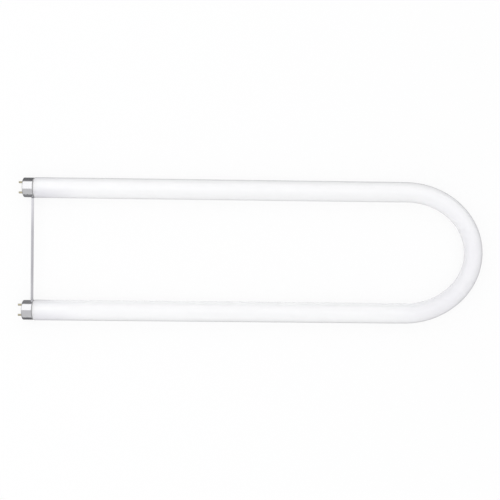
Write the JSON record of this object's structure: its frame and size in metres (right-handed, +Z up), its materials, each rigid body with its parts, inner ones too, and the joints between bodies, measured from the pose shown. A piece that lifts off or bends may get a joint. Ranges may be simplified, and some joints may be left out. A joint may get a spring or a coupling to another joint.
{
  "type": "u-shaped fluorescent lamp",
  "caption": "U-bent fluorescent lamp: a white glass tube with parallel legs, bi-pin aluminium end caps and a metal brace strip from cap to cap.",
  "frame": {"origin": "on the surface that the lamp lies on, under the middle of its length and width", "axes": "+X along the legs from the pins to the bend, +Y across the legs, +Z up, away from the surface"},
  "size_m": [0.581, 0.1778, 0.0254],
  "materials": {
    "phosphor_glass": "clear glass, white with phosphor on the inside",
    "brace_steel": "satin",
    "cap_aluminium": "drawn, bright",
    "plate_phenolic": "matt",
    "basing_cement": "matt",
    "pin_brass": "satin",
    "lead_nickel": "satin"
  },
  "bodies": {
    "root": {"glass_tube": "phosphor_glass", "brace_strip": "brace_steel", "end_cap_a": "cap_aluminium", "end_cap_b": "cap_aluminium", "pin_plate_a": "plate_phenolic", "pin_plate_b": "plate_phenolic", "basing_cement_a": "basing_cement", "basing_cement_b": "basing_cement", "contact_pin_a_outer": "pin_brass", "contact_pin_a_inner": "pin_brass", "contact_pin_b_outer": "pin_brass", "contact_pin_b_inner": "pin_brass", "lead_wire_a_outer": "lead_nickel", "lead_wire_a_inner": "lead_nickel", "lead_wire_b_outer": "lead_nickel", "lead_wire_b_inner": "lead_nickel"}
  },
  "joints": []
}
